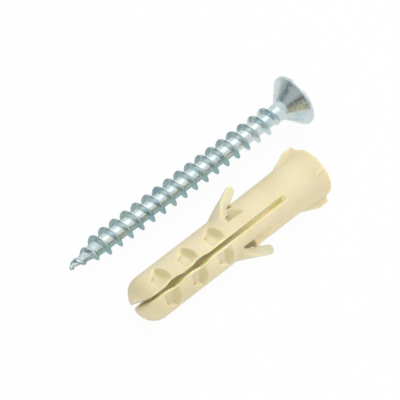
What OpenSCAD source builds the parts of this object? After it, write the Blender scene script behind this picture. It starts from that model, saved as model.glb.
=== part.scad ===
// Nylon wall plug with its countersunk screw, lying side by side as a loose pair.
// Millimetres. +Z is up, both tips point to -X, the floor is Z = 0.
// The plug lies on its nose, its rim and one wing, the screw on its head and its first full thread crest.

/* [Screw] */
// Overall length of the screw, from the point to the head face
screw_len = 50; // [40:1:60]
// Outer diameter of the thread
thread_d = 4.5; // [4.2:0.1:4.8]
// Diameter of the core under the thread
core_d = 2.65; // [2.5:0.05:2.9]
// Axial advance of the thread in one turn
pitch = 2.36; // [2.2:0.02:2.6]
// Axial width of the thread ridge where it leaves the core
thread_base_w = 1.05; // [0.9:0.05:1.3]
// Axial width of the flat on the thread crest
crest_w = 0.14; // [0.1:0.02:0.2]
// Length of the slender point, where the core is not yet full
point_len = 4.9; // [4.5:0.1:5.5]
// Diameter of the slightly blunt end of the point
point_end_d = 0.4; // [0.3:0.1:0.6]
// Diameter of the plain neck under the head
neck_d = 3.05; // [2.95:0.05:3.3]
// Length of the plain neck, from the end of the thread to the foot of the head
neck_len = 0.6; // [0.4:0.1:3]

/* [Screw head] */
// Diameter of the head
head_d = 9.2; // [8.8:0.1:9.6]
// Height of the cylindrical rim of the head
head_rim_h = 0.4; // [0.3:0.1:0.6]
// Half of the countersink angle
head_half_angle = 44; // [42:1:45]
// Radius of the fillet between the neck and the countersink
head_fillet_r = 2; // [1.5:0.25:2.5]
// Width of the cross recess over its arms, at the head face
recess_w = 4.6; // [4.2:0.1:4.8]
// Width of one arm of the cross recess
recess_arm_w = 1; // [0.9:0.1:1.2]
// Depth of the cross recess
recess_depth = 2.4; // [2.1:0.1:2.6]

/* [Plug body] */
// Overall length of the plug
plug_len = 39.5; // [39:0.5:42]
// Outer diameter of the front half of the plug
plug_d = 7.8; // [7.7:0.1:8]
// Outer diameter of the plug where the flare of the collar begins
collar_d = 8.1; // [8:0.1:8.3]
// Diameter of the rim at the collar end
rim_d = 8.8; // [8.6:0.1:9.2]
// Length of the flare that ends in the rim
flare_len = 5; // [4:0.5:6]
// Radius of the rounding of the nose
nose_r = 2.7; // [2.4:0.1:3]
// How much the straight bore is wider than the screw thread
bore_clearance = 0.5; // [0.3:0.1:0.7]
// Length of the straight bore at the mouth
bore_straight = 8; // [6:0.5:8.5]
// Diameter of the bore where the taper ends and the inner ridges begin
taper_d = 3.2; // [3:0.1:3.4]
// Diameter of the bore at its closed end in the nose
bore_end_d = 2.2; // [2:0.1:2.6]
// Thickness of the closed nose
nose_wall = 1.8; // [1.6:0.1:2.2]

/* [Slot] */
// Width of the slot at the nose
slot_w_tip = 0.56; // [0.5:0.02:0.7]
// Width of the slot at its rounded rear end
slot_w_end = 0.9; // [0.8:0.05:1]
// Distance from the nose to the rounded end of the slot
slot_len = 30.6; // [30:0.1:31.5]
// Radius of the rounding where the slot opens at the nose
slot_mouth_r = 1.2; // [0.8:0.1:1.5]
// Length of one lens-shaped widening of the slot
lens_len = 4.9; // [4.5:0.1:5.3]
// Width of one lens-shaped widening of the slot
lens_w = 1.25; // [1.15:0.05:1.4]

/* [Notches] */
// Distance from the nose to the first notch
notch_start = 2.95; // [2.8:0.05:3.2]
// Spacing of the notches along the plug
notch_pitch = 5.85; // [5.7:0.05:5.9]
// Number of notches in one row
notch_count = 3; // [1:1:3]
// Distance of a notch from the plane of the slot
notch_near = 1.4; // [1.3:0.05:1.6]
// Distance of the inner edge between the two floors of a notch from the plane of the slot
notch_ridge = 2.4; // [2.3:0.05:2.5]
// Height of that edge at its deep end, over the axis
notch_floor = 1.8; // [1.7:0.05:2]
// Length of a notch, from its front to its deepest corner
notch_corner = 1.85; // [1.7:0.05:2]
// Slope of the step that closes a notch toward the collar
notch_wall_slope = 48; // [44:1:52]
// Slope of the outer floor of a notch
notch_ramp_slope = 33.5; // [31:0.5:36]
// Heading in which that floor faces, from the plane of the slot toward the side
notch_ramp_heading = -14; // [-16:1:-12]

/* [Wings] */
// Distance from the nose to the root of the wings
wing_start = 18.9; // [18.5:0.1:19.5]
// Slope of a wing against the axis
wing_slope = 23.5; // [22:0.5:25]
// Radius from the axis to the outermost edge of a wing
wing_r = 6.5; // [6.2:0.1:6.8]
// Thickness of a wing
wing_t = 1.65; // [1.5:0.05:1.8]
// Width of a wing at its root
wing_w = 4.2; // [3.8:0.1:4.6]
// Width of a wing at its outermost edge
wing_end_w = 0.3; // [0.2:0.1:0.6]
// Thickness of the web between the two pockets beside a wing
web_t = 2; // [1.6:0.1:2.4]
// Length of the shorter pocket beside a wing
pocket_short = 3.7; // [3.5:0.1:4]
// Length of the longer pocket beside a wing
pocket_long = 6.9; // [6.5:0.1:7]

/* [Fins] */
// Radius of the two tall fins at the collar
fin_r = 5.4; // [5.2:0.1:5.6]
// Thickness of a fin
fin_t = 0.55; // [0.5:0.05:0.8]
// Length of the tall fins
fin_len = 6.8; // [6:0.1:7.5]
// How far the two low ribs stand out of the rim
rib_h = 0.2; // [0.1:0.05:0.3]

/* [Layout] */
// Distance between the two tips, across the pair
pair_gap = 14.6; // [13:0.1:20]
// How far the plug's nose lies behind the screw's point
plug_shift = 1.2; // [-2:0.1:2]
// Turn of the plug on the floor against the screw
plug_yaw = 1.8; // [0:0.1:3]
// Turn of the thread about the screw's axis
screw_roll = 292.5; // [0:11.25:348.75]

/* [Hidden] */
$fn = 96;
far = 20; // reach of a cutting solid outside the part

thread_r = thread_d / 2;
core_r = core_d / 2;
neck_r = neck_d / 2;
head_r = head_d / 2;
point_end_r = point_end_d / 2;
core_full_z = 1.45 * point_len; // the core has its full width here
point_r = 0.87 * core_r;        // its radius at the end of the slender point
point_z = pitch + 0.14;         // the plain end of the point, below the thread
lap = 0.015;                    // what the turned ends stand proud of the threaded shank
head_break = 0.1;               // broken edge of the head face

// the fillet is an arc that touches the neck and the countersink
fillet_run = head_fillet_r * tan(head_half_angle / 2);
head_edge_z = screw_len - head_rim_h;
head_foot_z = head_edge_z - (head_r - neck_r) / tan(head_half_angle) - fillet_run;
thread_end_z = head_foot_z - neck_len;

steps = 32; // angular steps in one turn
rows = 4;   // profile points in one pitch
profile_z = [0, (thread_base_w - crest_w) / 2, (thread_base_w + crest_w) / 2, thread_base_w];
profile_h = [0, 1, 1, 0];
shank_start_z = 0.05;
stations = ceil((head_foot_z + 0.4 - shank_start_z) / pitch * steps);

plug_r = plug_d / 2;
collar_r = collar_d / 2;
rim_r = rim_d / 2;
flare_z = plug_len - flare_len;
bore_r = (thread_d + bore_clearance) / 2;
bore_z = plug_len - bore_straight;
taper_z = plug_len / 2; // the inner ridges end here
lens_lag = 0.75;     // from the front of a notch to the lens beside it
step_heading = 205;  // the steps face the nose and lean toward the side
ridge_pitch = notch_pitch / 4;
ridge_h = 0.15;
ridge_count = floor((taper_z - nose_wall - 1) / ridge_pitch);

wing_end_r = wing_r - wing_t / 2;
wing_root_r = plug_r - wing_t / 2 / cos(wing_slope);
wing_run = (wing_end_r - wing_root_r) / tan(wing_slope);
wing_crest_z = wing_start + wing_run; // where a wing stands out furthest
wing_tip_z = wing_crest_z + wing_t / 2;
wing_lead = 2;        // how far a wing's outline starts before the wing
pocket_lag = 1.1;     // how far the pockets start behind it
wing_neck_lag = 0.4;  // from there to where a wing begins to narrow
wing_narrowing = 2.2; // length over which it narrows
pocket_z = wing_start + pocket_lag;
wing_neck_z = pocket_z + wing_neck_lag;    // a wing has its full width up to here
wing_mid_z = wing_neck_z + wing_narrowing; // and is narrow from here on
wing_mid_w = 0.3 * wing_w;      // its width there
pocket_v = 0.57 * plug_r; // the near edge of the pockets, beside the plane of the slot
hollow_start = 0.8; // from the start of the pockets to the hollow under a wing
hollow_inset = 0.5; // from the near edge of the pockets to the hollow
hollow_short = 1.2; // how much shorter the hollow is than the short pocket
hollow_lap = 0.1;   // how far the hollow cuts into the pockets on either side

// The fins and ribs at the collar, measured from its face.
fin_root = 0.3;  // how deep the ends of a fin lie in the collar
fin_back = 2.5;  // to the end of a fin's slope
fin_front = 0.6; // to the front corner of a fin
fin_foot = 0.25; // to the foot of a fin
rib_back = 2.2;  // to the far end of a low rib
rib_len = 1.9;

// How the screw rests: the line from the edge of its head to the first crest that it meets.
low_turn = ((270 - screw_roll + 360) % 360) / 360;
crest_zs = [for (k = [0 : 8]) shank_start_z + pitch * (low_turn + k) + profile_z[1]];
screw_tilt = min([for (z = crest_zs) atan((head_r - crest_at(z)) / (head_edge_z - z))]);
screw_lift = head_r * cos(screw_tilt) - head_edge_z * sin(screw_tilt);

// How the plug rests: on the shoulder of its nose, on its rim and on the edge of one wing.
plug_tilt = asin((rim_r - plug_r) / (plug_len - nose_r));
plug_lift = plug_r * cos(plug_tilt) - nose_r * sin(plug_tilt);
// points on the edge of a wing: height along the plug, radius and half width there
wing_edge = [for (i = [0 : 60])
    let (z = wing_neck_z + (wing_tip_z - wing_neck_z) * i / 60, u = wing_half(z)) [z, wing_outer(z, u), u]];
wing_down = max([for (e = wing_edge)
    acos((plug_r + (e[0] - nose_r) * tan(plug_tilt)) / norm([e[1], e[2]])) + atan(e[2] / e[1])]);

// The pair is centred over the origin by its outline: head and point along X, head and wing along Y.
span_x = [-(point_end_r + lap) * sin(screw_tilt),
    screw_len * cos(screw_tilt) + (head_r - head_break) * sin(screw_tilt)];
wing_reach = max([for (e = wing_edge)
    cos(plug_yaw) * (e[1] * sin(wing_down) + e[2] * cos(wing_down)) - sin(plug_yaw) * e[0]]);
span_y = [-pair_gap - wing_reach, head_r];
centre = [(span_x[0] + span_x[1]) / 2, (span_y[0] + span_y[1]) / 2, 0];

// half width of a wing at a height along the plug: it narrows fast at first, then slowly
function wing_half(z) = wing_w / 2
    - (wing_w - wing_mid_w) / 2 * clamped((z - wing_neck_z) / (wing_mid_z - wing_neck_z))
    - (wing_mid_w - wing_end_w) / 2 * clamped((z - wing_mid_z) / (wing_crest_z - wing_mid_z));
// outer radius of a wing at a height along the plug, beside its middle by u
function wing_outer(z, u) = min(
    plug_r + (z - wing_start) * tan(wing_slope) - (plug_r - sqrt(pow(plug_r, 2) - u * u)) / cos(wing_slope),
    wing_end_r + sqrt(max(0, pow(wing_t / 2, 2)
        - pow(max(-wing_t / 2 * sin(wing_slope), z - wing_crest_z), 2))));
function clamped(x) = min(max(x, 0), 1);
// radius of the core: slender point, full core, then the neck
function core_at(z) =
    z < point_len ? point_end_r + (point_r - point_end_r) * z / point_len
    : z < core_full_z ? point_r + (core_r - point_r) * (z - point_len) / (core_full_z - point_len)
    : core_r + (neck_r - core_r) * clamped((z - thread_end_z + 0.8) / 0.8);
// height of the thread: it grows over the point and dies out before the neck
function ridge_at(z) =
    (thread_r - core_at(z)) * pow(clamped((z - point_z) / (core_full_z - point_z)), 0.7)
        * min(1, 2.6 * pow(clamped((thread_end_z - z) / pitch), 0.9));
function crest_at(z) = core_at(z) + ridge_at(z);
function shank_point(s, k) =
    let (z = shank_start_z + pitch * s / steps + profile_z[k],
         r = core_at(z) + profile_h[k] * ridge_at(z),
         a = 360 * s / steps)
    [r * cos(a), r * sin(a), z];

// The threaded shank: rows of points follow the helix,
// and the last row of a turn meets the first of the next.
module shank() {
    n = steps;
    m = rows;
    last = stations;
    function id(s, k) = s <= last ? s * m + k : (last + 1) * m + s - last - 1;
    function quad(a, b, c, d) = [[a, b, c], [a, c, d]];
    points = concat(
        [for (s = [0 : last]) for (k = [0 : m - 1]) shank_point(s, k)],
        [for (s = [last + 1 : last + n]) shank_point(s, 0)],
        [[0, 0, shank_start_z], [0, 0, shank_start_z + pitch * (last / n + 1)]]);
    foot = len(points) - 2;
    top = len(points) - 1;
    start_loop = concat([for (s = [0 : n]) id(s, 0)], [for (k = [m - 1 : -1 : 1]) id(0, k)]);
    end_loop = concat([for (k = [0 : m - 1]) id(last, k)], [for (s = [last + n : -1 : last + 1]) id(s, 0)]);
    polyhedron(points = points, convexity = 20, faces = concat(
        [for (s = [0 : last - 1]) for (k = [0 : m - 2])
            for (f = quad(id(s, k), id(s, k + 1), id(s + 1, k + 1), id(s + 1, k))) f],
        [for (s = [0 : last - 1])
            for (f = quad(id(s, m - 1), id(s + n, 0), id(s + n + 1, 0), id(s + 1, m - 1))) f],
        [for (i = [0 : len(start_loop) - 1]) [foot, start_loop[i], start_loop[(i + 1) % len(start_loop)]]],
        [for (i = [0 : len(end_loop) - 1]) [top, end_loop[i], end_loop[(i + 1) % len(end_loop)]]]));
}

// The head from the foot of its fillet up, with the fillet as steps of one arc.
module head_solid() {
    arc = [for (a = [0 : head_half_angle / 8 : head_half_angle + 0.01])
        [neck_r + lap + head_fillet_r * (1 - cos(a)), head_foot_z + head_fillet_r * sin(a)]];
    rotate_extrude()
        polygon(concat([[0, head_foot_z - 0.1], [neck_r + lap, head_foot_z - 0.1]], arc,
            [[head_r, head_edge_z], [head_r, screw_len - head_break], [head_r - head_break, screw_len],
            [0, screw_len]]));
}

// A cross recess: two crossed arms inside a cone, with a small centring cone below.
module cross_recess() {
    bottom = screw_len - recess_depth;
    intersection() {
        translate([0, 0, bottom])
            cylinder(r1 = recess_w / 2 - 0.75, r2 = recess_w / 2 + 0.3, h = recess_depth + 1);
        union() {
            translate([-far / 2, -recess_arm_w / 2, bottom]) cube([far, recess_arm_w, far]);
            translate([-recess_arm_w / 2, -far / 2, bottom]) cube([recess_arm_w, far, far]);
        }
    }
    translate([0, 0, bottom - 0.5]) cylinder(r1 = 0.1, r2 = 1.25, h = recess_depth + 1);
}

module screw_local() {
    difference() {
        union() {
            shank();
            cylinder(r1 = point_end_r + lap, r2 = core_at(point_z) + lap, h = point_z);
            head_solid();
        }
        cross_recess();
    }
}

module screw() {
    color([0.75, 0.78, 0.8])
        translate([0, 0, screw_lift] - centre)
            rotate([0, 90 - screw_tilt, 0]) rotate([0, 0, screw_roll + 90]) screw_local();
}

// The half space on the lower side of a plane through a point, tilted by an angle toward a heading.
module below(point, slope, heading) {
    translate(point) rotate([0, slope, heading]) translate([-far, -far, -2 * far]) cube(2 * far);
}

// The step that closes a notch or a pocket toward the collar.
module step_side(z) {
    below([notch_floor, notch_ridge, z], notch_wall_slope, step_heading);
}

// One notch beside the slot: a steep inner floor, a sloping outer floor and the step behind them.
module notch() {
    run = notch_ridge - notch_near;
    rise = sqrt(pow(plug_r, 2) - pow(notch_near, 2)) - notch_floor;
    intersection() {
        step_side(notch_corner);
        union() {
            linear_extrude(height = far)
                polygon([[notch_floor, notch_ridge], [notch_floor + 1.6 * rise, notch_ridge - 1.6 * run],
                    [notch_floor + 1.6 * rise, notch_ridge]]);
            intersection() {
                translate([0, notch_ridge, -1]) cube(far);
                translate([notch_floor, notch_ridge, notch_corner])
                    rotate([0, 90 - notch_ramp_slope, notch_ramp_heading])
                        translate([-far, -far, 0]) cube(2 * far);
            }
        }
    }
}

// A wing across the plane of the slot, drawn toward +Y: a tongue of the body's own round wall, swung outward.
module wing() {
    intersection() {
        rotate([0, 90, 0]) translate([0, 0, -wing_w / 2]) linear_extrude(height = wing_w) {
            translate([-wing_crest_z, wing_end_r]) circle(wing_t / 2);
            translate([-wing_start, wing_root_r]) rotate(180 - wing_slope)
                translate([-1, -wing_t / 2]) square([1 + wing_run / cos(wing_slope), wing_t]);
        }
        translate([0, plug_r * (1 - cos(wing_slope)), wing_start + plug_r * sin(wing_slope)])
            rotate([-wing_slope, 0, 0]) translate([0, 0, -far]) cylinder(r = plug_r, h = 2 * far);
        rotate([-90, 0, 0]) linear_extrude(height = far)
            polygon([for (s = [-1, 1]) for (i = s < 0 ? [0 : 4] : [4 : -1 : 0])
                let (z = [wing_start - wing_lead, wing_neck_z, wing_mid_z, wing_crest_z, wing_tip_z][i])
                    [s * wing_half(z), -z]]);
    }
}

// Pocket beside a wing, open to the slot's side of the plug.
module pocket(len) {
    intersection() {
        step_side(pocket_z + len - 1.6);
        translate([web_t / 2, pocket_v, pocket_z]) cube([far, far, len]);
    }
}

// The hollow under a wing, in the web between the pockets.
module wing_hollow() {
    translate([-web_t / 2 - hollow_lap, pocket_v + hollow_inset, pocket_z + hollow_start])
        cube([web_t + 2 * hollow_lap, far, pocket_short - hollow_short]);
}

module plug_body() {
    nose = [for (a = [0 : 10 : 90]) [plug_r - nose_r + nose_r * sin(a), nose_r - nose_r * cos(a)]];
    rotate_extrude()
        polygon(concat([[0, 0]], nose, [[plug_r, taper_z], [collar_r, flare_z],
            [rim_r - 0.05, plug_len - 0.9], [rim_r, plug_len - 0.5], [rim_r, plug_len - 0.15],
            [rim_r - 0.15, plug_len], [0, plug_len]]));
}

module bore() {
    ridges = [for (k = [0 : ridge_count - 1]) for (p = [0, 1])
        let (z = taper_z - (k + 0.25 * p) * ridge_pitch,
             taper = (taper_d - bore_end_d) / 2 * (taper_z - z) / (taper_z - nose_wall))
        [taper_d / 2 - taper - p * ridge_h, z]];
    rotate_extrude()
        polygon(concat([[0, plug_len + 1], [bore_r + 0.4, plug_len + 1], [bore_r + 0.4, plug_len],
            [bore_r, plug_len - 0.6], [bore_r, bore_z]], ridges,
            [[bore_end_d / 2, nose_wall + 0.6], [bore_end_d / 4, nose_wall], [0, nose_wall]]));
}

module slot() {
    rotate([0, -90, 0]) translate([0, 0, -far]) linear_extrude(height = 2 * far) {
        polygon([[-1, -slot_w_tip / 2], [slot_len - slot_w_end / 2, -slot_w_end / 2],
            [slot_len - slot_w_end / 2, slot_w_end / 2], [-1, slot_w_tip / 2]]);
        translate([slot_len - slot_w_end / 2, 0]) circle(slot_w_end / 2);
        difference() {
            translate([-1, -slot_w_tip / 2 - slot_mouth_r])
                square([1 + slot_mouth_r, slot_w_tip + 2 * slot_mouth_r]);
            for (s = [-1, 1])
                translate([slot_mouth_r, s * (slot_w_tip / 2 + slot_mouth_r)]) circle(slot_mouth_r);
        }
    }
    lens_r = (pow(lens_len / 2, 2) + pow(lens_w / 2, 2)) / lens_w;
    for (k = [0 : 1]) translate([-far, 0, notch_start + lens_lag + lens_len / 2 + k * notch_pitch])
        rotate([0, 90, 0]) intersection() {
            translate([0, lens_r - lens_w / 2, 0]) cylinder(r = lens_r, h = 2 * far);
            translate([0, lens_w / 2 - lens_r, 0]) cylinder(r = lens_r, h = 2 * far);
        }
}

module plug_local() {
    difference() {
        union() {
            plug_body();
            for (s = [0, 1]) mirror([0, s, 0]) {
                // tall fin
                rotate([0, -90, 0]) translate([0, 0, -fin_t / 2]) linear_extrude(height = fin_t)
                    polygon([[plug_len - fin_len, collar_r - fin_root], [plug_len - fin_back, fin_r],
                        [plug_len - fin_front, fin_r], [plug_len - fin_foot, rim_r - fin_root]]);
                // low rib
                rotate([0, 0, s * 180]) translate([0, -fin_t / 2, plug_len - rib_back])
                    cube([rim_r + rib_h, fin_t, rib_len]);
            }
        }
        bore();
        slot();
        for (s = [0, 1]) for (t = [0, 1]) mirror([s, 0, 0]) mirror([0, t, 0]) {
            for (k = [0 : notch_count - 1]) translate([0, 0, notch_start + k * notch_pitch]) notch();
            pocket(s == t ? pocket_long : pocket_short);
        }
        for (s = [0, 1]) mirror([0, s, 0]) wing_hollow();
    }
    for (s = [0, 1]) mirror([0, s, 0]) wing();
}

module wall_plug() {
    color([0.91, 0.86, 0.74])
        translate([plug_shift, -pair_gap, plug_lift] - centre)
            rotate([0, 0, plug_yaw]) rotate([0, 90 - plug_tilt, 0]) rotate([0, 0, 270 - wing_down])
                plug_local();
}

screw();
wall_plug();
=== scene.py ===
"""Wall plug and its countersunk screw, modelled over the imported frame, with their finishes and a stage."""

import math

import bmesh
import bpy
from bpy.props import FloatProperty, FloatVectorProperty, IntProperty, PointerProperty
from bpy.types import Operator, Panel, PropertyGroup
from mathutils import Matrix, Vector


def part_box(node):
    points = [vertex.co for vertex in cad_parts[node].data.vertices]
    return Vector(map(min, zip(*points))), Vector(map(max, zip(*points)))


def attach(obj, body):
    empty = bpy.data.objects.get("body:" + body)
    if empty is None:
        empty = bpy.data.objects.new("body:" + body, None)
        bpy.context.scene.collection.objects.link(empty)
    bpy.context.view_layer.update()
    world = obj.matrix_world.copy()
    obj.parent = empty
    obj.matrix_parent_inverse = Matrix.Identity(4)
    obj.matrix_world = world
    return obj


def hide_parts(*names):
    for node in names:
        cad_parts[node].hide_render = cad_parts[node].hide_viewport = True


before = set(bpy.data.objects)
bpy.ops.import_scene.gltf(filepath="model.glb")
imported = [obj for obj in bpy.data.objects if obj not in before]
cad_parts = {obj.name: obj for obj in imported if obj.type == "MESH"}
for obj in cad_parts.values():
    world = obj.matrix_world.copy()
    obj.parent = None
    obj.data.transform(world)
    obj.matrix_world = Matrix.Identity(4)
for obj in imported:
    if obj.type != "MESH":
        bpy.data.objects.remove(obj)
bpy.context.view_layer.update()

bl_info = {
    "name": "Wall plug with screw",
    "version": (1, 0, 0),
    "blender": (4, 5, 0),
    "location": "View3D > Sidebar > Wall plug",
    "description": "Models a nylon wall plug and its countersunk screw, with their finishes and a stage",
    "category": "Mesh",
}

MM = 0.001
PLACES = {}  # where the plug comes to lie, in millimetres, for the lamps in its bore


# Properties

def length(name, description, millimetres):
    """A length that the panel shows in the scene's unit; the default is given in millimetres."""
    return FloatProperty(name=name, description=description, default=millimetres * MM, min=0.0,
                         unit="LENGTH", subtype="DISTANCE", precision=5)


def angle(name, description, degrees):
    """An angle; the default is given in degrees."""
    return FloatProperty(name=name, description=description, default=math.radians(degrees),
                         unit="ROTATION", subtype="ANGLE")


def colour(name, description, default):
    """A colour without alpha."""
    return FloatVectorProperty(name=name, description=description, default=default, size=3,
                               min=0.0, max=1.0, subtype="COLOR")


def coordinate(name, description, millimetres):
    """A length that may be negative; the default is given in millimetres."""
    return FloatProperty(name=name, description=description, default=millimetres * MM, unit="LENGTH")


def fraction(name, description, default):
    """A share between nothing and all."""
    return FloatProperty(name=name, description=description, default=default, min=0.0, max=1.0,
                         subtype="FACTOR")


class WALLPLUG_PG_screw(PropertyGroup):
    """Sizes of the screw."""

    length: length("Length", "From the point to the head face", 50)
    thread_d: length("Thread diameter", "Outer diameter of the thread", 4.5)
    core_d: length("Core diameter", "Diameter of the core under the thread", 2.65)
    pitch: length("Pitch", "Axial advance of the thread in one turn", 2.36)
    base_w: length("Ridge width", "Axial width of the thread ridge where it leaves the core", 1.05)
    crest_w: length("Crest width", "Axial width of the thread crest", 0.14)
    point_len: length("Point length", "Length over which the core narrows to the point", 5.6)
    crest_len: length("Crest taper", "Length over which the crest grows from the point", 6.25)
    point_d: length("Point diameter", "Diameter of the slightly blunt end", 0.4)
    neck_d: length("Neck diameter", "Diameter of the plain neck", 3.05)
    neck_len: length("Neck length", "From the end of the thread to the foot of the head", 0.6)
    head_d: length("Head diameter", "Diameter of the head", 9.2)
    rim_h: length("Head rim", "Height of the cylindrical rim of the head", 0.4)
    fillet_r: length("Fillet", "Radius between the neck and the countersink", 2.0)
    recess_w: length("Recess width", "Width of the cross recess over its arms", 4.6)
    arm_w: length("Arm width", "Width of one arm of the recess", 1.0)
    recess_depth: length("Recess depth", "Depth of the cross recess", 2.4)
    half_angle: angle("Half angle", "Half of the countersink angle", 44)
    tilt: angle("Tilt", "How the screw leans as it lies on its head and a crest", 3.190179)
    roll: angle("Roll", "Turn of the thread about the screw's axis", 292.5)


class WALLPLUG_PG_plug(PropertyGroup):
    """Sizes of the plug."""

    length: length("Length", "Overall length of the plug", 39.5)
    body_d: length("Body diameter", "Outer diameter of the front half", 7.8)
    collar_d: length("Collar diameter", "Outer diameter where the flare begins", 8.1)
    rim_d: length("Rim diameter", "Diameter of the rim", 8.8)
    flare_len: length("Flare length", "Length of the flare that ends in the rim", 5)
    nose_r: length("Nose radius", "Radius of the rounding of the nose", 2.7)
    bore_d: length("Bore diameter", "Diameter of the straight bore at the mouth", 5.0)
    bore_straight: length("Straight bore", "Length of the straight bore", 8)
    taper_d: length("Taper end", "Diameter of the bore where the inner ridges begin", 3.2)
    bore_end_d: length("Bore end", "Diameter of the bore at its closed end", 2.2)
    nose_wall: length("Nose wall", "Thickness of the closed nose", 1.8)
    slot_w_tip: length("Slot at nose", "Width of the slot at the nose", 0.56)
    slot_w_end: length("Slot at end", "Width of the slot at its rounded end", 0.9)
    slot_len: length("Slot length", "From the nose to the rounded end of the slot", 30.6)
    slot_mouth_r: length("Slot mouth", "Radius of the rounding where the slot opens at the nose", 1.2)
    lens_len: length("Lens length", "Length of one lens-shaped widening of the slot", 4.9)
    lens_w: length("Lens width", "Width of one lens-shaped widening of the slot", 1.25)
    notch_start: length("First notch", "From the nose to the first notch", 2.95)
    notch_pitch: length("Notch spacing", "Spacing of the notches along the plug", 5.85)
    notch_near: length("Notch edge", "Distance of a notch from the plane of the slot", 1.4)
    notch_ridge: length("Notch ridge", "Distance of the edge between its floors from that plane", 2.4)
    notch_floor: length("Notch floor", "Height of that edge at its deep end, over the axis", 1.8)
    notch_corner: length("Notch length", "From the front of a notch to its deepest corner", 1.85)
    wing_start: length("Wing root", "From the nose to the root of the wings", 18.9)
    wing_r: length("Wing reach", "Radius to the outermost edge of a wing", 6.5)
    wing_t: length("Wing thickness", "Thickness of a wing", 1.65)
    wing_w: length("Wing width", "Width of a wing at its root", 4.2)
    wing_end_w: length("Wing end width", "Width of a wing at its outermost edge", 0.3)
    web_t: length("Web", "Thickness of the web between the two pockets beside a wing", 2)
    pocket_short: length("Short pocket", "Length of the shorter pocket beside a wing", 3.7)
    pocket_long: length("Long pocket", "Length of the longer pocket beside a wing", 6.9)
    fin_r: length("Fin radius", "Radius of the two tall fins", 5.4)
    fin_t: length("Fin thickness", "Thickness of a fin", 0.55)
    fin_len: length("Fin length", "Length of the tall fins", 6.8)
    rib_h: length("Rib height", "How far the two low ribs stand out of the rim", 0.2)
    softness: length("Edge softness", "Grid on which the moulded edges are rounded", 0.16)
    wall_slope: angle("Step slope", "Slope of the step that closes a notch", 48)
    ramp_slope: angle("Ramp slope", "Slope of the outer floor of a notch", 33.5)
    ramp_heading: angle("Ramp heading", "Heading in which that floor faces", -14)
    wing_slope: angle("Wing slope", "Slope of a wing against the axis", 23.5)
    yaw: angle("Yaw", "Turn of the plug on the floor against the screw", 1.8)
    notch_count: IntProperty(name="Notches", description="Number of notches in one row",
                             default=3, min=1, max=3)


class WALLPLUG_PG_finish(PropertyGroup):
    """Colours of the two finishes, with painted light and painted shade on the nylon."""

    zinc: colour("Zinc", "Bright zinc plating", (0.60, 0.68, 0.69))
    zinc_blue: colour("Blue tint", "Tint on the flanks of the thread", (0.42, 0.56, 0.59))
    zinc_olive: colour("Olive tint", "Faint yellow-green tint of the plating", (0.58, 0.60, 0.46))
    nylon: colour("Nylon", "Natural cream nylon", (0.83, 0.735, 0.51))
    nylon_deep: colour("Deep nylon", "Slightly deeper tone of the nylon", (0.77, 0.68, 0.44))
    # Painted light: a lighter colour for the walls of the slot, as if light came through them
    slot_painted_light: colour("Inner nylon", "Walls of the slot, where light comes through", (1.0, 0.92, 0.58))
    # Painted light: the wings and fins paler, as if light came through the thin nylon
    thin_painted_light: colour("Thin nylon", "Paler tone of the wings and the fins", (0.79, 0.73, 0.53))
    # Painted shade: a darker colour for the rear floors of the notches, where shade falls
    notch_painted_shade: colour("Notch nylon", "Deeper tone of the rear floors of the notches", (0.71, 0.63, 0.37))


class WALLPLUG_PG_stage(PropertyGroup):
    """Camera, and white of the floor."""

    azimuth: angle("Azimuth", "Side from which the camera looks", -43.46)
    elevation: angle("Elevation", "Height of the camera over the floor", 47.84)
    distance: length("Distance", "From the camera to the point it looks at", 523)
    scale: FloatProperty(name="Scale", description="Pixels of the picture for one millimetre at the aim",
                         default=6.197)
    aim_x: coordinate("Aim X", "Point that the camera looks at", -0.2305)
    aim_y: coordinate("Aim Y", "Point that the camera looks at", 3.4627)
    aim_z: coordinate("Aim Z", "Point that the camera looks at", 2.0)
    strip_width: length("Strip width", "Width of the floor under the plug that keeps its own shade", 5.6)
    strip_shift: length("Strip shift", "How far that strip lies behind the middle of the plug's box", 2.3)
    floor_white: fraction("Floor white", "Share of white that the camera sees", 0.95)
    strip_white: fraction("Strip white", "The same share under the plug", 0.25)


def millimetres(group):
    """The group's lengths in millimetres; its angles and counts as they are."""
    values = {}
    for name, prop in group.bl_rna.properties.items():
        if prop.type in {"FLOAT", "INT"} and not getattr(prop, "is_array", False):
            value = getattr(group, name)
            values[name] = value / MM if getattr(prop, "unit", "NONE") == "LENGTH" else value
    return type("Sizes", (), values)


# Modelling, in millimetres

def only(piece):
    """Selects one object and nothing else, in object mode."""
    if bpy.context.object and bpy.context.object.mode != "OBJECT":
        bpy.ops.object.mode_set(mode="OBJECT")
    bpy.ops.object.select_all(action="DESELECT")
    bpy.context.view_layer.objects.active = piece
    piece.select_set(True)
    return piece


def edit(piece, select="SELECT"):
    """Goes into edit mode on one object, with all or nothing selected."""
    only(piece)
    bpy.ops.object.mode_set(mode="EDIT")
    bpy.ops.mesh.select_all(action=select)


def done(piece, name=None):
    """Leaves edit mode."""
    bpy.ops.object.mode_set(mode="OBJECT")
    if name:
        piece.name = piece.data.name = name
    return piece


def added(operator, **options):
    """A new primitive, with nothing else selected."""
    bpy.ops.object.select_all(action="DESELECT")
    operator(**options)
    return bpy.context.object


def lifted(piece, height):
    """Moves a mesh along Z inside its object."""
    edit(piece)
    bpy.ops.transform.translate(value=(0, 0, height))
    return done(piece)


def applied(piece, modifier):
    """Makes a modifier's result the mesh."""
    only(piece)
    bpy.ops.object.modifier_apply(modifier=modifier.name)
    return piece


def outward(piece):
    """Merges doubles and turns every face outwards."""
    edit(piece)
    bpy.ops.mesh.remove_doubles(threshold=1e-4)
    bpy.ops.mesh.normals_make_consistent(inside=False)
    return done(piece)


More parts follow.
